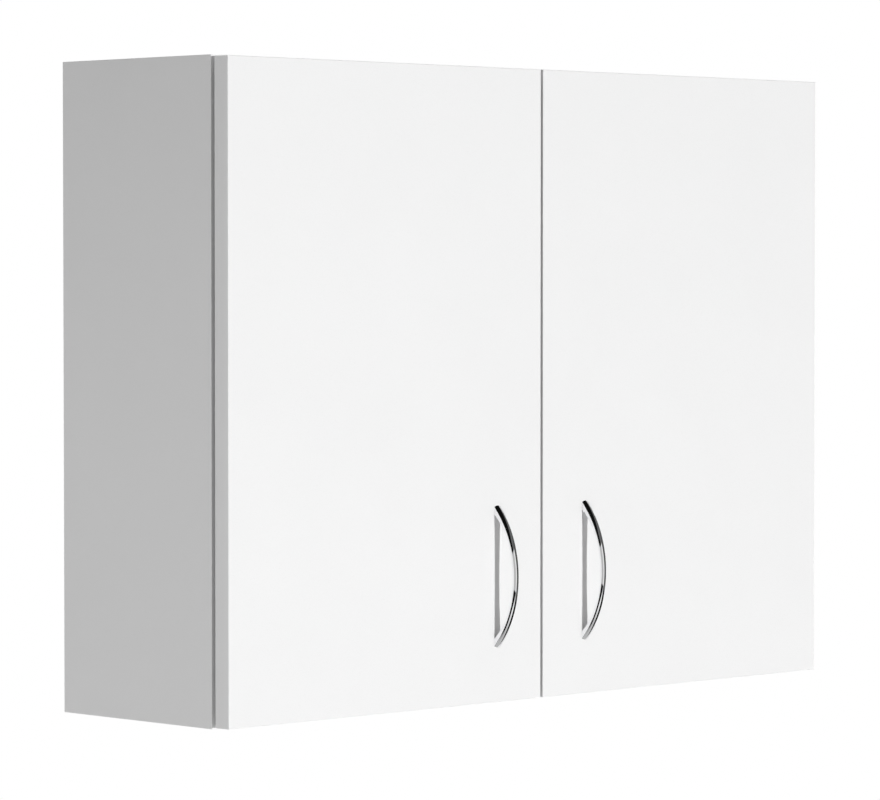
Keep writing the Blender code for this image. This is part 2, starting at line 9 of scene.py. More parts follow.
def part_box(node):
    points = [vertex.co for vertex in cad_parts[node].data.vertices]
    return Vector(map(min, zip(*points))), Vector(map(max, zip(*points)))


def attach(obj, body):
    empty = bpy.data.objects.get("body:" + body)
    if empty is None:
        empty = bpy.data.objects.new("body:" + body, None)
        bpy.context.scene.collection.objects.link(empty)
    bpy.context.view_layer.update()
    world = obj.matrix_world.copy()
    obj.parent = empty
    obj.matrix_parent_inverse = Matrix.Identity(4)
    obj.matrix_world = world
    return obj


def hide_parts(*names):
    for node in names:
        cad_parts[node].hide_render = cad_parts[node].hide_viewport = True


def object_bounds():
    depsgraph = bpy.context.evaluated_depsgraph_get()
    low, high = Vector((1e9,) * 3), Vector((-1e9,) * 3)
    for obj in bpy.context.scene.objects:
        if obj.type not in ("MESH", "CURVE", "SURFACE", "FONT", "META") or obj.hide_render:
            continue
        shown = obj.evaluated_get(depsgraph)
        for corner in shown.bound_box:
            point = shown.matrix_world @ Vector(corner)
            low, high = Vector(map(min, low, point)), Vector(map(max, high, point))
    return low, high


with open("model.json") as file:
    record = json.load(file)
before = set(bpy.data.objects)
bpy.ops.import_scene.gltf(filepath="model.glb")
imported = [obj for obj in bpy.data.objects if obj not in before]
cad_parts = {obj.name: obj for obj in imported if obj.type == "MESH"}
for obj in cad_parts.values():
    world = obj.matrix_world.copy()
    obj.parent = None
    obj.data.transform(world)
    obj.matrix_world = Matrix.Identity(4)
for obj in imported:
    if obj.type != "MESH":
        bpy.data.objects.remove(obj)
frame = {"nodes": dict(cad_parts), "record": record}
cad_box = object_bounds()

MM = 0.001
SIDES = {"left": -1, "right": 1}
LEVELS = ("lower", "upper")
ROWS = ("front", "rear")
RECORD = frame["record"]
BODY_OF = {node: body for body, nodes in RECORD["behaviour"]["bodies"].items() for node in nodes}

# Camera, level with the cabinet's upper half and in front of its left corner
CAMERA_PLACE = (-2.9036, -3.0260, 0.4147)
CAMERA_TURN = (math.radians(88.157), 0.0, math.radians(-44.675))
CAMERA_LENS = 173.57

# Boards, their edge bands and what is cut out of them
DOOR_BAND = 1.0 * MM
CARCASS_BAND = 0.8 * MM
BAND_ROUND = 0.5 * MM
SEAM = 0.08 * MM
CUT_PAST = 1 * MM  # how far a bore starts outside its board
BORE_ROOM = 0.3 * MM  # around a cup or a cam
BORE_FLOOR_ROOM = 0.4 * MM  # behind it
SCREW_BORE_RADIUS = 2.3 * MM
GROOVE_PAST = 2 * MM  # how far the groove's cutter starts outside its board
GROOVE_DEPTH = 8 * MM
GROOVE_ROOM = 0.3 * MM  # on either side of the back panel
GROOVE_OVERRUN = 10 * MM  # past the board's ends
PIN_HOLE_RADIUS = 2.65 * MM
PIN_HOLE_DEPTH = 9 * MM
PIN_PITCH = 32 * MM
PINS_EACH_WAY = 2
WINDOW_BESIDE = 4 * MM  # from the hook to the edge of its window in the back panel
WINDOW_BELOW = 20.4 * MM  # from the hook's top
WINDOW_ABOVE = 7.6 * MM

# Bow handles
HANDLE_SWEEP = math.radians(46)
HANDLE_FOOT_TURN = math.radians(38)  # where the bow comes to its full width and thickness
HANDLE_MID_WIDTH = 6.1 * MM
HANDLE_MID_THICKNESS = 2.8 * MM
HANDLE_FOOT_THICKNESS = 5.8 * MM
HANDLE_CROWN = 1.3  # radius of the face's crown, as a share of the bow's width
HANDLE_EDGE = 0.35 * MM
HANDLE_FOOT_GAP = 0.1 * MM
HANDLE_END_ROOM = 0.05 * MM

# Hinge screws: a head is (radius, height, reach of its cross)
CUP_HEAD = (3.4 * MM, 1.1 * MM, 1.9 * MM)
PLATE_HEAD = (3.6 * MM, 1.6 * MM, 2.0 * MM)
ARM_HEAD = (2.7 * MM, 0.9 * MM, 1.6 * MM)
CUP_SCREW_INWARD = 9.5 * MM  # from the cup's middle
CUP_SCREW_RISE = 22.5 * MM
PLATE_THICKNESS = 1.9 * MM
PLATE_SCREW_FORWARD = 15 * MM  # from the plate's front end, towards the wall
PLATE_SCREW_RISE = 16 * MM
ARM_SCREW_INSETS = (15 * MM, 9 * MM)  # from the arm's front end and from its rear end
CUP_SCREW_TWIST = 40  # radians for each millimetre of rise, so that no two crosses line up
PLATE_SCREW_TWIST = 25
ARM_SCREW_TWIST = 900  # radians for each metre in depth

# Light
SUN_STRENGTH = 2.25
SUN_FROM_RIGHT = math.radians(1.5)
SUN_SPREAD = math.radians(2)
AMBIENT = 0.215
SIDE_FILL = 3.2
SIDE_FILL_SIZE = 0.5
SIDE_FILL_PLACE = (-1.7, -0.25, 0.12)
SIDE_FILL_TARGET = (-0.4, -0.15, 0.25)
TOP_LIGHT = 1.4
TOP_LIGHT_SPREAD = math.radians(40)
TOP_LIGHT_HEADING = (-0.5, -0.5, -0.7)
# The floor's painted glow, at its middle and at its rim: it gives off light though it is no lamp
FLOOR_GLOW = 0.14
FLOOR_RIM_GLOW = 0.50
FLOOR_RADIUS = 3.2
FLOOR_DROP = 0.9

# What mirrors see: a pale room with grey panels, laid one over another. Each has its tone and
# the sides that bound it, as (toward, limit, softness).
LEFT, RIGHT = (-1, 0, 0), (1, 0, 0)
FRONT, REAR = (0, -1, 0), (0, 1, 0)
DOWN, UP = (0, 0, -1), (0, 0, 1)
IN_FRONT = (FRONT, 0.0, 0.05)
BELOW = (DOWN, 0.27, 0.015)
ABOVE = (UP, 0.32, 0.015)
MIRROR_PALE = 1.05
MIRROR_PANELS = (
    (0.50, [IN_FRONT, (LEFT, -0.53, 0.06)]),
    (0.98, [IN_FRONT, BELOW]),
    (0.50, [IN_FRONT, (DOWN, 0.62, 0.12)]),
    (0.01, [IN_FRONT, BELOW, (LEFT, -0.40, 0.04), (UP, -0.84, 0.05)]),
    (0.01, [IN_FRONT, BELOW, ((-1, 0, 0.96), -0.93, 0.06)]),
    (0.004, [IN_FRONT, ABOVE]),
    (0.14, [ABOVE, (RIGHT, 0.48, 0.05), ((0, 1, -5.4), -3.31, 0.2)]),
    (0.09, [(RIGHT, 0.68, 0.05), (REAR, -0.72, 0.06), (UP, -0.27, 0.05), (DOWN, -0.34, 0.02)]),
    (0.01, [(RIGHT, 0.69, 0.03), (UP, -0.67, 0.03), (DOWN, 0.25, 0.03)]),
)


# ---------------------------------------------------------------- node materials


def new_material(name):
    material = bpy.data.materials.new(name)
    material.use_nodes = True
    return material, material.node_tree, material.node_tree.nodes["Principled BSDF"]


def add_node(tree, kind, **values):
    node = tree.nodes.new(kind)
    for key, value in values.items():
        setattr(node, key, value)
    return node


def noise(tree, scale, detail=3.0, roughness=0.5, stretch=(1, 1, 1)):
    """Noise over the piece's own coordinates, scale in cycles a metre."""
    place = add_node(tree, "ShaderNodeTexCoord")
    mapping = add_node(tree, "ShaderNodeMapping")
    mapping.inputs["Scale"].default_value = stretch
    texture = add_node(tree, "ShaderNodeTexNoise")
    texture.inputs["Scale"].default_value = scale
    texture.inputs["Detail"].default_value = detail
    texture.inputs["Roughness"].default_value = roughness
    tree.links.new(place.outputs["Object"], mapping.inputs["Vector"])
    tree.links.new(mapping.outputs["Vector"], texture.inputs["Vector"])
    return texture.outputs["Fac"]


def ramp(tree, source, stops):
    """A colour ramp, stops given as (position, colour)."""
    node = add_node(tree, "ShaderNodeValToRGB")
    elements = node.color_ramp.elements
    while len(elements) < len(stops):
        elements.new(0.5)
    for element, (position, colour) in zip(elements, stops):
        element.position = position
        element.color = (*colour, 1.0)
    tree.links.new(source, node.inputs["Fac"])
    return node.outputs["Color"]


def span(tree, source, low, high, from_low=0.3, from_high=0.7):
    """The source spread over a range of values."""
    node = add_node(tree, "ShaderNodeMapRange")
    node.inputs["From Min"].default_value = from_low
    node.inputs["From Max"].default_value = from_high
    node.inputs["To Min"].default_value = low
    node.inputs["To Max"].default_value = high
    tree.links.new(source, node.inputs["Value"])
    return node.outputs["Result"]


def tint(tree, shader, source, stops):
    """Colours a shader by a ramp."""
    tree.links.new(ramp(tree, source, stops), shader.inputs["Base Color"])


def gloss(tree, shader, source, low, high):
    """Lets a shader's roughness vary between two values."""
    tree.links.new(span(tree, source, low, high), shader.inputs["Roughness"])


def bump(tree, shader, source, strength, distance):
    node = add_node(tree, "ShaderNodeBump")
    node.inputs["Strength"].default_value = strength
    node.inputs["Distance"].default_value = distance
    tree.links.new(source, node.inputs["Height"])
    tree.links.new(node.outputs["Normal"], shader.inputs["Normal"])


def grey(value):
    return (value, value, value)


def melamine(name, tone, rough):
    """White melamine film: an even tone, a fine pearl grain and a soft gloss."""
    material, tree, shader = new_material(name)
    clouds = noise(tree, 9, 4)
    tint(tree, shader, clouds, [(0.25, grey(tone * 0.985)), (0.75, grey(tone))])
    grain = noise(tree, 1400, 4, 0.65)
    gloss(tree, shader, grain, rough - 0.05, rough + 0.05)
    bump(tree, shader, grain, 0.12, 0.03 * MM)
    shader.inputs["Specular IOR Level"].default_value = 0.45
    return material


def edge_film(name, tone):
    """The ABS edge band: the same white, with an even gloss and faint streaks from trimming."""
    material, tree, shader = new_material(name)
    streaks = noise(tree, 700, 3, 0.6, (0.12, 1, 0.12))
    tint(tree, shader, streaks, [(0.3, grey(tone * 0.995)), (0.7, grey(tone))])
    gloss(tree, shader, streaks, 0.29, 0.34)
    bump(tree, shader, streaks, 0.03, 0.03 * MM)
    return material


def chipboard(name):
    """The raw core of the board: pressed chips in mixed browns."""
    material, tree, shader = new_material(name)
    place = add_node(tree, "ShaderNodeTexCoord")
    chips = add_node(tree, "ShaderNodeTexVoronoi")
    chips.inputs["Scale"].default_value = 560
    chips.inputs["Randomness"].default_value = 1.0
    tree.links.new(place.outputs["Object"], chips.inputs["Vector"])
    split = add_node(tree, "ShaderNodeSeparateColor")
    tree.links.new(chips.outputs["Color"], split.inputs["Color"])
    browns = [
        (0.0, (0.28, 0.19, 0.10)),
        (0.35, (0.46, 0.33, 0.20)),
        (0.7, (0.57, 0.43, 0.28)),
        (1.0, (0.67, 0.53, 0.37)),
    ]
    tint(tree, shader, split.outputs["Red"], browns)
    gloss(tree, shader, noise(tree, 900, 5, 0.7), 0.75, 0.95)
    bump(tree, shader, chips.outputs["Distance"], 0.5, 0.3 * MM)
    return material


def hardboard(name):
    """The raw back of the hardboard: matted brown fibre."""
    material, tree, shader = new_material(name)
    fibres = noise(tree, 260, 8, 0.75, (1, 1, 0.6))
    browns = [(0.3, (0.17, 0.095, 0.05)), (0.5, (0.27, 0.16, 0.085)), (0.7, (0.36, 0.22, 0.125))]
    tint(tree, shader, fibres, browns)
    gloss(tree, shader, fibres, 0.6, 0.85)
    bump(tree, shader, fibres, 0.35, 0.2 * MM)
    return material


def plated_metal(name, tone, rough_low, rough_high, scale, stretch=(1, 1, 1), strength=0.05):
    """Plated metal whose gloss is broken up by a fine grain."""
    material, tree, shader = new_material(name)
    shader.inputs["Metallic"].default_value = 1.0
    grain = noise(tree, scale, 4, 0.6, stretch)
    darker = tuple(channel * 0.96 for channel in tone)
    tint(tree, shader, grain, [(0.3, darker), (0.7, tone)])
    gloss(tree, shader, grain, rough_low, rough_high)
    bump(tree, shader, grain, strength, 0.05 * MM)
    return material


def moulded_plastic(name, tone):
    material, tree, shader = new_material(name)
    grain = noise(tree, 1800, 3)
    tint(tree, shader, grain, [(0.3, grey(tone * 0.97)), (0.7, grey(tone))])
    gloss(tree, shader, grain, 0.38, 0.5)
    bump(tree, shader, grain, 0.15, 0.05 * MM)
    return material


def clear_rubber(name):
    """Milky, slightly tacky silicone."""
    material, tree, shader = new_material(name)
    haze = noise(tree, 300, 3)
    tint(tree, shader, haze, [(0.3, (0.62, 0.64, 0.64)), (0.7, (0.74, 0.75, 0.74))])
    gloss(tree, shader, haze, 0.22, 0.34)
    bump(tree, shader, haze, 0.1, 0.05 * MM)
    shader.inputs["Subsurface Weight"].default_value = 0.4
    shader.inputs["Subsurface Radius"].default_value = (0.002, 0.002, 0.002)
    return material


def studio_floor(name):
    """Pale grey, with a painted glow that grows towards the rim: it fades the floor to white and adds light
    from below.
    """
    material, tree, shader = new_material(name)
    tint(tree, shader, noise(tree, 2, 3), [(0.3, grey(0.86)), (0.7, grey(0.88))])
    shader.inputs["Roughness"].default_value = 0.9
    shader.inputs["Specular IOR Level"].default_value = 0.1
    # painted glow: the floor gives off light, more towards the rim
    shader.inputs["Emission Color"].default_value = (1, 1, 1, 1)
    place = add_node(tree, "ShaderNodeTexCoord")
    away = add_node(tree, "ShaderNodeVectorMath", operation="LENGTH")
    tree.links.new(place.outputs["Object"], away.inputs[0])
    start, end = 0.3 * FLOOR_RADIUS, 0.95 * FLOOR_RADIUS
    glow = span(tree, away.outputs["Value"], FLOOR_GLOW, FLOOR_RIM_GLOW, start, end)
    tree.links.new(glow, shader.inputs["Emission Strength"])
    return material


BOARD_FILM = melamine("white_melamine", 0.86, 0.30)
EDGE_FILM = edge_film("white_edge_band", 0.86)
INNER_FILM = melamine("white_hardboard_face", 0.82, 0.42)
CHIPS = chipboard("raw_chipboard")
FIBRE = hardboard("raw_hardboard")
CHROME = plated_metal("polished_chrome", (0.93, 0.93, 0.94), 0.025, 0.05, 900, strength=0.01)
NICKEL = plated_metal(
    "nickel_plated_steel", (0.66, 0.64, 0.61), 0.20, 0.30, 1100, stretch=(1, 0.15, 1), strength=0.03
)
ZINC = plated_metal("zinc_plated_steel", (0.60, 0.62, 0.65), 0.26, 0.46, 500)
PLASTIC = moulded_plastic("moulded_white_plastic", 0.78)
SILICONE = clear_rubber("milky_silicone")


# ---------------------------------------------------------------- meshes


def along_x(a, b, c):
    return (c, a, b)


def along_y(a, b, c):
    return (a, c, b)


def along_z(a, b, c):
    return (a, b, c)


def circle(a, b, radius, steps=48):
    turns = [2 * math.pi * i / steps for i in range(steps)]
    return [(a + radius * math.cos(t), b + radius * math.sin(t)) for t in turns]


def rectangle(a0, a1, b0, b1):
    return [(a0, b0), (a1, b0), (a1, b1), (a0, b1)]


def add_prism(bm, outline, start, end, place):
    """Adds a closed solid: the outline carried from start to end."""
    near = [bm.verts.new(place(a, b, start)) for a, b in outline]
    far = [bm.verts.new(place(a, b, end)) for a, b in outline]
    faces = [bm.faces.new(near), bm.faces.new(reversed(far))]
    for i in range(len(outline)):
        faces.append(bm.faces.new((near[i - 1], far[i - 1], far[i], near[i])))
    bmesh.ops.recalc_face_normals(bm, faces=faces)


def add_box(bm, low, high):
    bmesh.ops.create_cube(bm, size=1.0)
    for vert in bm.verts:
        for i in range(3):
            vert.co[i] = low[i] if vert.co[i] < 0 else high[i]


def revolved(profile, place, steps):
    """A turned solid from (radius, along) points, the first and the last on the axis that place gives."""
    bm = bmesh.new()
    (_, start), *between, (_, end) = profile
    rings = []
    for radius, along in between:
        rings.append([bm.verts.new(place(a, b, along)) for a, b in circle(0, 0, radius, steps)])
    for before, after in zip(rings, rings[1:]):
        for k in range(steps):
            bm.faces.new((before[k - 1], before[k], after[k], after[k - 1]))
    for ring, along in ((rings[0], start), (rings[-1], end)):
        pole = bm.verts.new(place(0, 0, along))
        for k in range(steps):
            bm.faces.new((ring[k - 1], ring[k], pole))
    bmesh.ops.recalc_face_normals(bm, faces=bm.faces)
    return bm


def shade(mesh, sharp=35):
    """Smooth shading, except over edges of more than sharp degrees."""
    mesh.shade_smooth()
    mesh.set_sharp_from_angle(angle=math.radians(sharp))


def make_object(name, bm, *materials, sharp=35):
    mesh = bpy.data.meshes.new(name)
    bm.to_mesh(mesh)
    bm.free()
    shade(mesh, sharp)
    made = bpy.data.objects.new(name, mesh)
    bpy.context.scene.collection.objects.link(made)
    for material in materials:
        mesh.materials.append(material)
    return made


def apply_modifiers(piece):
    graph = bpy.context.evaluated_depsgraph_get()
    mesh = bpy.data.meshes.new_from_object(piece.evaluated_get(graph), depsgraph=graph)
    piece.modifiers.clear()
    piece.data = mesh


def carve(piece, prisms, material):
    """Cuts prisms out of a piece. The cut faces take the material."""
    bm = bmesh.new()
    for prism in prisms:
        add_prism(bm, *prism)
    cutter = make_object("cutter", bm, material)
    modifier = piece.modifiers.new("carve", "BOOLEAN")
    modifier.operation = "DIFFERENCE"
    modifier.solver = "EXACT"
    modifier.material_mode = "TRANSFER"
    modifier.object = cutter
    apply_modifiers(piece)
    shade(piece.data)
    bpy.data.objects.remove(cutter)


def settle(piece, node, stands_for=()):
    """Makes a piece ride on the body of a CAD node, and hides the nodes it stands for."""
    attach(piece, BODY_OF[node])
    if stands_for:
        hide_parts(*stands_for)


def middle_and_radius(node, a, b):
    """The middle of a round node, along its axes a and b, and its radius."""
    low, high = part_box(node)
    return (low[a] + high[a]) / 2, (low[b] + high[b]) / 2, (high[a] - low[a]) / 2


def board_core(name, low, high, raw=()):
    """A block of board with crisp eased edges. Faces on the raw sides show the chips."""
    bm = bmesh.new()
    add_box(bm, low, high)
    for face in bm.faces:
        axis = max(range(3), key=lambda i: abs(face.normal[i]))
        sign = "+" if face.normal[axis] > 0 else "-"
        face.material_index = 1 if sign + "xyz"[axis] in raw else 0
    bmesh.ops.bevel(bm, geom=bm.edges[:], offset=SEAM, segments=1, affect="EDGES")
    return make_object(name, bm, BOARD_FILM, CHIPS)


def band_section(width, thickness, radius=BAND_ROUND, steps=5):
    """(inset, depth) points of an edge band: rounded outside, a hairline chamfer beside the board."""
    points = [(width, SEAM), (width - SEAM, 0)]
    for first, middle in ((270, radius), (180, thickness - radius)):
        for k in range(steps + 1):
            t = math.radians(first - 90 * k / steps)
            points.append((radius + radius * math.cos(t), middle + radius * math.sin(t)))
    return points + [(width - SEAM, thickness), (width, thickness - SEAM)]


def band_ring(name, low, high, width):
    """A band round all four edges of an upright board, mitred at its corners."""
    section = band_section(width, high.y - low.y)
    bm = bmesh.new()
    rings = []
    for sx, sz in ((-1, -1), (1, -1), (1, 1), (-1, 1)):
        x = high.x if sx > 0 else low.x
        z = high.z if sz > 0 else low.z
        rings.append([bm.verts.new((x - sx * d, low.y + s, z - sz * d)) for d, s in section])
    for i, ring in enumerate(rings):
        following = rings[(i + 1) % 4]
        for k in range(len(section)):
            bm.faces.new((ring[k - 1], ring[k], following[k], following[k - 1]))
    bmesh.ops.recalc_face_normals(bm, faces=bm.faces)
    return make_object(name, bm, EDGE_FILM)


def door(side):
    """A door: the board with its bores, and the band round its edges."""
    node = f"door_{side}"
    low, high = map(Vector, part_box(node))
    inset = Vector((DOOR_BAND, 0, DOOR_BAND))
    core = board_core(f"{node}_board", low + inset, high - inset)
    bores = []
    for level in LEVELS:
        cup = f"hinge_cup_{side}_{level}"
        x, z, radius = middle_and_radius(cup, 0, 2)
        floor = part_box(cup)[0][1] - BORE_FLOOR_ROOM
        bores.append((circle(x, z, radius + BORE_ROOM, 64), high.y + CUT_PAST, floor, along_y))
        x, z, _ = middle_and_radius(f"handle_screw_{side}_{level}", 0, 2)
        bores.append((circle(x, z, SCREW_BORE_RADIUS, 24), high.y + CUT_PAST, low.y - CUT_PAST, along_y))
    carve(core, bores, CHIPS)
    settle(core, node, stands_for=[node])
    settle(band_ring(f"{node}_edge_band", low, high, DOOR_BAND), node)


def straight_band(name, node, low, high, outward, depth_axis):
    """A straight band on one edge of a carcass board: it faces outward, depth_axis runs across it."""
    axis = "xyz".index(outward[1])
    across = "xyz".index(depth_axis)
    length_axis = 3 - axis - across
    edge = high[axis] if outward[0] == "+" else low[axis]
    inwards = -1 if outward[0] == "+" else 1
    bm = bmesh.new()
    ends = []
    for at in (low[length_axis], high[length_axis]):
        ring = []
        for d, s in band_section(CARCASS_BAND, high[across] - low[across]):
            place = [0.0, 0.0, 0.0]
            place[axis] = edge + inwards * d
            place[across] = low[across] + s
            place[length_axis] = at
            ring.append(bm.verts.new(place))
        ends.append(ring)
    bm.faces.new(ends[0])
    bm.faces.new(reversed(ends[1]))
    for k in range(len(ends[0])):
        bm.faces.new((ends[0][k - 1], ends[1][k - 1], ends[1][k], ends[0][k]))
    bmesh.ops.recalc_face_normals(bm, faces=bm.faces)
    band = make_object(name, bm, EDGE_FILM)
    settle(band, node)
    return band


def groove_prism(across, low, high, inner):
    """The groove that holds the back panel, in a board whose inner face is at inner."""
    back_low, back_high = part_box("back_panel")
    front, rear = back_low[1] - GROOVE_ROOM, back_high[1] + GROOVE_ROOM
    if across == 0:
        outline, place = rectangle(front, rear, low.z - GROOVE_OVERRUN, high.z + GROOVE_OVERRUN), along_x
    else:
        outline, place = rectangle(low.x - GROOVE_OVERRUN, high.x + GROOVE_OVERRUN, front, rear), along_z
    outwards = math.copysign(1, inner - (low[across] + high[across]) / 2)
    return (outline, inner + outwards * GROOVE_PAST, inner - outwards * GROOVE_DEPTH, place)


def side_panel(side):
    """A side, grooved for the back panel, bored for the shelf pins, and banded in front and at its ends."""
    node = f"side_panel_{side}"
    low, high = map(Vector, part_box(node))
    core_low = low + Vector((0, CARCASS_BAND, CARCASS_BAND))
    core_high = high - Vector((0, 0, CARCASS_BAND))
    core = board_core(f"{node}_board", core_low, core_high, raw=("+y",))
    inner = high.x if side == "left" else low.x
    groove = groove_prism(0, low, high, inner)
    cuts = [groove]
    inwards = -SIDES[side]
    for row in ROWS:
        y, z, _ = middle_and_radius(f"shelf_pin_{side}_{row}", 1, 2)
        for i in range(-PINS_EACH_WAY, PINS_EACH_WAY + 1):
            outline = circle(y, z + i * PIN_PITCH, PIN_HOLE_RADIUS, 32)
            cuts.append((outline, inner + inwards * CUT_PAST, inner - inwards * PIN_HOLE_DEPTH, along_x))
    carve(core, cuts, CHIPS)
    settle(core, node, stands_for=[node])
    straight_band(f"{node}_front_band", node, low, high, "-y", "x")
    rest_low = low + Vector((0, CARCASS_BAND, 0))
    for outward, word in (("-z", "bottom"), ("+z", "top")):
        band = straight_band(f"{node}_{word}_band", node, rest_low, high, outward, "x")
        carve(band, [groove], CHIPS)


def level_panel(node, outer_word):
    """The top or the bottom panel, with its groove and the bores of its four cams."""
    low, high = map(Vector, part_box(node))
    core = board_core(f"{node}_board", low + Vector((0, CARCASS_BAND, 0)), high, raw=("+y", "-x", "+x"))
    inner = low.z if outer_word == "top" else high.z
    cuts = [groove_prism(2, low, high, inner)]
    for side in SIDES:
        for row in ROWS:
            cam = f"cam_{outer_word}_{side}_{row}"
            x, y, radius = middle_and_radius(cam, 0, 1)
            cam_low, cam_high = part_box(cam)
            if outer_word == "top":
                mouth, floor = high.z + CUT_PAST, cam_low[2] - BORE_FLOOR_ROOM
            else:
                mouth, floor = low.z - CUT_PAST, cam_high[2] + BORE_FLOOR_ROOM
            cuts.append((circle(x, y, radius + BORE_ROOM, 48), mouth, floor, along_z))
    carve(core, cuts, CHIPS)
    settle(core, node, stands_for=[node])
    straight_band(f"{node}_front_band", node, low, high, "-y", "z")


def back_panel():
    """A sheet of hardboard, white in front and brown behind, with a window at each hook."""
    node = "back_panel"
    low, high = map(Vector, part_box(node))
    bm = bmesh.new()
    add_box(bm, low, high)
    for face in bm.faces:
        face.material_index = 0 if face.normal.y < -0.5 else 1
    panel = make_object("back_panel_sheet", bm, INNER_FILM, FIBRE)
    windows = []
    for side in SIDES:
        hook_low, hook_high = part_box(f"hanger_hook_{side}")
        left, right = hook_low[0] - WINDOW_BESIDE, hook_high[0] + WINDOW_BESIDE
        bottom, top = hook_high[2] - WINDOW_BELOW, hook_high[2] + WINDOW_ABOVE
        outline = rectangle(left, right, bottom, top)
        windows.append((outline, low.y - GROOVE_PAST, high.y + GROOVE_PAST, along_y))
    carve(panel, windows, FIBRE)
    settle(panel, node, stands_for=[node])


def shelf():
    node = "shelf"
    low, high = map(Vector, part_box(node))
    core = board_core("shelf_board", low + Vector((0, CARCASS_BAND, 0)), high, raw=("+y", "-x", "+x"))
    settle(core, node, stands_for=[node])
    straight_band("shelf_front_band", node, low, high, "-y", "z")


def bow_section(width, thick):
    """The bow's cross-section, (across, out): a flat back, upright sides and a crowned face."""
    half, crown, edge = width / 2, width * HANDLE_CROWN, HANDLE_EDGE
    rise = math.sqrt((crown - edge) ** 2 - (half - edge) ** 2)
    shoulder = math.atan2(rise, half - edge)
    arcs = [
        (half - edge, edge, edge, -math.pi / 2, 0, 5),
        (half - edge, thick - crown + rise, edge, 0, shoulder, 5),
        (0, thick - crown, crown, shoulder, math.pi - shoulder, 20),
        (edge - half, thick - crown + rise, edge, math.pi - shoulder, math.pi, 5),
        (edge - half, edge, edge, math.pi, 3 * math.pi / 2, 5),
    ]
    points = []
    for i, (x, y, radius, first, last, steps) in enumerate(arcs):
        shared = 1 if i in (2, 3) else 0  # the crown starts and ends where its edges do
        for k in range(shared, steps + 1):
            t = first + (last - first) * k / steps
            points.append((x + radius * math.cos(t), y + radius * math.sin(t)))
    return points


def handle(side, steps_along=160):
    """A chromed bow on an arc, cut flat where its feet meet the door."""
    node = f"handle_{side}"
    low, high = map(Vector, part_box(node))
    x_middle, z_middle = (low.x + high.x) / 2, (low.z + high.z) / 2
    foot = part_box(f"door_{side}")[0][1] - HANDLE_FOOT_GAP
    projection = foot - low.y
    reach = (high.z - low.z) / 2 - HANDLE_END_ROOM
    radius = (reach**2 + projection**2) / (2 * projection)
    centre = low.y + radius
    foot_width = high.x - low.x
    bm = bmesh.new()
    rings = []
    for i in range(steps_along + 1):
        turn = HANDLE_SWEEP * (2 * i / steps_along - 1)
        outwards = min(1.0, abs(turn) / HANDLE_FOOT_TURN)
        width = HANDLE_MID_WIDTH + (foot_width - HANDLE_MID_WIDTH) * outwards**2
        thick = HANDLE_MID_THICKNESS + (HANDLE_FOOT_THICKNESS - HANDLE_MID_THICKNESS) * outwards**4
        ring = []
        for across, out in bow_section(width, thick):
            r = radius - thick + out
            place = (x_middle + across, centre - r * math.cos(turn), z_middle + r * math.sin(turn))
            ring.append(bm.verts.new(place))
        rings.append(ring)
    for before, after in zip(rings, rings[1:]):
        for k in range(len(before)):
            bm.faces.new((before[k - 1], before[k], after[k], after[k - 1]))
    bmesh.ops.recalc_face_normals(bm, faces=bm.faces)
    bmesh.ops.bisect_plane(
        bm, geom=bm.verts[:] + bm.edges[:] + bm.faces[:], dist=1e-7,
        plane_co=(0, foot, 0), plane_no=REAR, clear_outer=True,
    )
    bmesh.ops.holes_fill(bm, edges=[e for e in bm.edges if e.is_boundary])
    bmesh.ops.recalc_face_normals(bm, faces=bm.faces)
    bow = make_object(f"bow_{node}", bm, CHROME, sharp=50)
    settle(bow, node, stands_for=[node])


def screw_mesh(name, radius, height, reach, material=NICKEL, steps=8):
    """A pan head with a cross recess, its seat at the origin and its crown towards +Z."""
    profile = [(0.0, height)]
    for k in range(1, steps + 1):
        t = math.pi / 2 * k / steps
        profile.append((radius * math.sin(t), height * (0.35 + 0.65 * math.cos(t))))
    profile += [(radius, 0.0), (0.0, 0.0)]
    head = make_object(name, revolved(profile, along_z, 32), material)
    r, w = reach, reach * 0.24
    cross = [(r, -w), (r, w), (w, w), (w, r), (-w, r), (-w, w)]
    cross += [(-x, -y) for x, y in cross]
    carve(head, [(cross, height * 0.25, height + CUT_PAST, along_z)], material)
    mesh = head.data
    bpy.data.objects.remove(head)
    return mesh


def place_screw(name, mesh, at, facing, body, turn):
    """A screw head standing on the point at, its crown towards facing."""
    made = bpy.data.objects.new(name, mesh)
    bpy.context.scene.collection.objects.link(made)
    turned = Vector(facing).to_track_quat("Z", "Y").to_matrix().to_4x4() @ Matrix.Rotation(turn, 4, "Z")
    made.matrix_world = Matrix.Translation(at) @ turned
    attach(made, body)


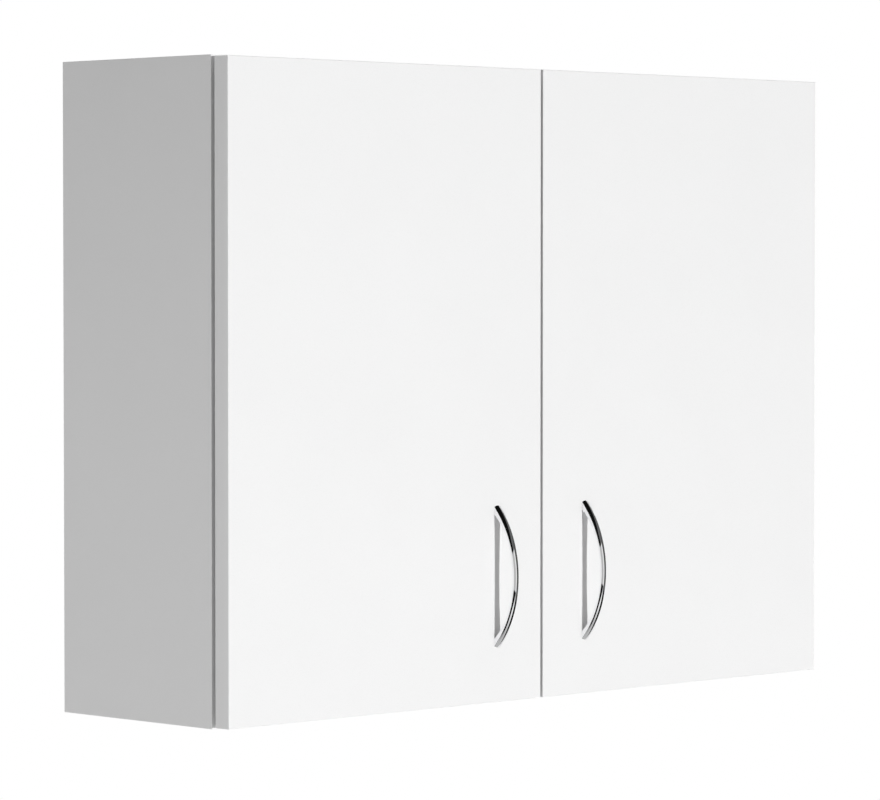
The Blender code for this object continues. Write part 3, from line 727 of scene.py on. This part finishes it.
def hinge_screws():
    """The screws of the cups, plates and arms, each turned to its own angle."""
    cup_head = screw_mesh("cup_screw_head", *CUP_HEAD)
    plate_head = screw_mesh("plate_screw_head", *PLATE_HEAD)
    arm_head = screw_mesh("arm_screw_head", *ARM_HEAD)
    for side, sign in SIDES.items():
        inwards = (-sign, 0, 0)
        for level in LEVELS:
            hinge = f"{side}_{level}"
            cup_low, cup_high = map(Vector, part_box(f"hinge_cup_{hinge}"))
            plate_low, plate_high = map(Vector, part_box(f"hinge_plate_{hinge}"))
            arm_low, arm_high = map(Vector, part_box(f"hinge_arm_{hinge}"))
            centre = (cup_low + cup_high) / 2
            x_cup = centre.x - sign * CUP_SCREW_INWARD
            x_plate = (plate_low.x if sign < 0 else plate_high.x) - sign * PLATE_THICKNESS
            x_arm = arm_high.x if sign < 0 else arm_low.x
            for word, way in (("a", -1), ("b", 1)):
                rise = way * CUP_SCREW_RISE
                at = (x_cup, cup_high.y, centre.z + rise)
                turn = CUP_SCREW_TWIST * rise / MM
                place_screw(f"hinge_cup_screw_{hinge}_{word}", cup_head, at, REAR, f"{side}_door", turn)
            for word, way in (("a", -1), ("b", 1)):
                rise = way * PLATE_SCREW_RISE
                at = (x_plate, plate_low.y + PLATE_SCREW_FORWARD, centre.z + rise)
                turn = PLATE_SCREW_TWIST * rise / MM
                place_screw(f"hinge_plate_screw_{hinge}_{word}", plate_head, at, inwards, "cabinet", turn)
            front_inset, rear_inset = ARM_SCREW_INSETS
            for word, y in (("a", arm_low.y + front_inset), ("b", arm_high.y - rear_inset)):
                at = (x_arm, y, centre.z)
                turn = ARM_SCREW_TWIST * y
                place_screw(f"hinge_arm_screw_{hinge}_{word}", arm_head, at, inwards, "cabinet", turn)


def bumper(side, level, steps=10):
    """A domed silicone button stuck to the door."""
    node = f"bumper_{side}_{level}"
    low, high = map(Vector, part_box(node))
    x, z, radius = middle_and_radius(node, 0, 2)
    height = high.y - low.y
    profile = [(0.0, 0.0), (radius, 0.0)]
    for k in range(steps + 1):
        t = math.pi / 2 * k / steps
        profile.append((radius * (0.55 + 0.45 * math.cos(t)), height * (0.45 + 0.55 * math.sin(t))))
    profile.append((0.0, height))
    bm = revolved(profile, along_y, 40)
    bmesh.ops.translate(bm, verts=bm.verts, vec=(x, low.y, z))
    button = make_object(f"{node}_button", bm, SILICONE)
    settle(button, node, stands_for=[node])


def keep_node(node, material, bevel=0.25 * MM):
    """Keeps a CAD node as it is, with eased edges and a finished material."""
    piece = frame["nodes"][node]
    piece.data.materials.clear()
    piece.data.materials.append(material)
    weld = piece.modifiers.new("weld", "WELD")
    weld.merge_threshold = 0.01 * MM
    ease = piece.modifiers.new("ease", "BEVEL")
    ease.width = bevel
    ease.segments = 2
    ease.limit_method = "ANGLE"
    ease.angle_limit = math.radians(40)
    normals = piece.modifiers.new("normals", "WEIGHTED_NORMAL")
    normals.keep_sharp = False


def kept_nodes():
    """The fittings that keep their CAD shape."""
    finishes = {
        "hinge_cup": NICKEL,
        "hinge_arm": NICKEL,
        "hinge_plate": NICKEL,
        "hinge_outer_link": NICKEL,
        "hinge_inner_link": NICKEL,
        "handle_screw": ZINC,
        "shelf_pin": ZINC,
        "cam_": ZINC,
        "hanger_housing": PLASTIC,
        "hanger_hook": ZINC,
        "hanger_height_screw": ZINC,
        "hanger_depth_screw": ZINC,
        "wall_plate": ZINC,
    }
    for node in frame["nodes"]:
        for start, material in finishes.items():
            if node.startswith(start):
                keep_node(node, material)


# ---------------------------------------------------------------- stage


def make_floor():
    bm = bmesh.new()
    bmesh.ops.create_circle(bm, cap_ends=True, radius=FLOOR_RADIUS, segments=96)
    floor = make_object("studio_floor", bm, studio_floor("studio_floor_painted_glow"))
    floor.location = (0, 0, cad_box[0].z - FLOOR_DROP)
    floor.visible_glossy = False


def area_light(name, place, target, size, energy):
    """A round soft light, left out of mirror images."""
    lamp = bpy.data.lights.new(name, "AREA")
    lamp.shape = "DISK"
    lamp.size = size
    lamp.energy = energy
    made = bpy.data.objects.new(name, lamp)
    made.location = place
    made.rotation_euler = (Vector(target) - Vector(place)).to_track_quat("-Z", "Y").to_euler()
    made.visible_glossy = False
    bpy.context.scene.collection.objects.link(made)


def sun_light(name, turn, strength, spread):
    """A far light, left out of mirror images."""
    lamp = bpy.data.lights.new(name, "SUN")
    lamp.energy = strength
    lamp.angle = spread
    made = bpy.data.objects.new(name, lamp)
    made.rotation_euler = turn
    made.visible_glossy = False
    bpy.context.scene.collection.objects.link(made)


def make_lights():
    """A nearly hard frontal light, a soft one low on the left, and a broad one high behind, on the right."""
    sun_light("front_light", (math.radians(90), 0, SUN_FROM_RIGHT), SUN_STRENGTH, SUN_SPREAD)
    area_light("side_fill", SIDE_FILL_PLACE, SIDE_FILL_TARGET, SIDE_FILL_SIZE, SIDE_FILL)
    from_behind = Vector(TOP_LIGHT_HEADING).to_track_quat("-Z", "Y").to_euler()
    sun_light("top_light", from_behind, TOP_LIGHT, TOP_LIGHT_SPREAD)


def beyond(tree, directions, toward, limit, softness):
    """1 for directions that reach past the limit toward a vector, 0 for the rest, softly parted."""
    reach = add_node(tree, "ShaderNodeVectorMath", operation="DOT_PRODUCT")
    tree.links.new(directions, reach.inputs[0])
    reach.inputs[1].default_value = toward
    return span(tree, reach.outputs["Value"], 0.0, 1.0, limit - softness, limit + softness)


def blended(tree, base, tone, amounts):
    """The base, turned towards a grey as far as the product of the amounts."""
    factor = amounts[0]
    for other in amounts[1:]:
        product = add_node(tree, "ShaderNodeMath", operation="MULTIPLY")
        tree.links.new(factor, product.inputs[0])
        tree.links.new(other, product.inputs[1])
        factor = product.outputs["Value"]
    mix = add_node(tree, "ShaderNodeMix", data_type="RGBA")
    tree.links.new(factor, mix.inputs["Factor"])
    tree.links.new(base, mix.inputs["A"])
    mix.inputs["B"].default_value = (*grey(tone), 1)
    return mix.outputs["Result"]


def choose(tree, ray_kind, otherwise, chosen):
    """One shader for a kind of ray and another for the rest."""
    rays = add_node(tree, "ShaderNodeLightPath")
    mix = add_node(tree, "ShaderNodeMixShader")
    tree.links.new(rays.outputs[ray_kind], mix.inputs["Fac"])
    tree.links.new(otherwise, mix.inputs[1])
    tree.links.new(chosen, mix.inputs[2])
    return mix.outputs["Shader"]


def background(tree, tone):
    node = add_node(tree, "ShaderNodeBackground")
    node.inputs["Color"].default_value = (*grey(tone), 1)
    return node, node.outputs["Background"]


def make_world():
    """Even light all round, white behind the cabinet, and a studio of panels that only mirrors see."""
    world = bpy.data.worlds.new("studio")
    bpy.context.scene.world = world
    world.use_nodes = True
    tree = world.node_tree
    tree.nodes.clear()
    directions = add_node(tree, "ShaderNodeTexCoord").outputs["Generated"]
    pale = add_node(tree, "ShaderNodeRGB")
    pale.outputs["Color"].default_value = (*grey(MIRROR_PALE), 1)
    seen = pale.outputs["Color"]
    for tone, sides in MIRROR_PANELS:
        seen = blended(tree, seen, tone, [beyond(tree, directions, *side) for side in sides])
    mirrors, mirrored = background(tree, MIRROR_PALE)
    tree.links.new(seen, mirrors.inputs["Color"])
    _, ambient = background(tree, AMBIENT)
    _, white = background(tree, 1.0)
    lit = choose(tree, "Is Glossy Ray", ambient, mirrored)
    output = add_node(tree, "ShaderNodeOutputWorld")
    tree.links.new(choose(tree, "Is Camera Ray", lit, white), output.inputs["Surface"])


def make_camera():
    data = bpy.data.cameras.new("camera")
    data.lens = CAMERA_LENS
    data.sensor_width = 36
    data.clip_start = 0.05
    camera = bpy.data.objects.new("camera", data)
    camera.location = CAMERA_PLACE
    camera.rotation_euler = CAMERA_TURN
    bpy.context.scene.collection.objects.link(camera)
    bpy.context.scene.camera = camera


make_camera()
make_lights()
make_world()
make_floor()
bpy.context.scene.view_settings.view_transform = "Standard"
for side in SIDES:
    door(side)
    side_panel(side)
    handle(side)
    for level in ("bottom", "top"):
        bumper(side, level)
level_panel("top_panel", "top")
level_panel("bottom_panel", "bottom")
back_panel()
shelf()
hinge_screws()
kept_nodes()
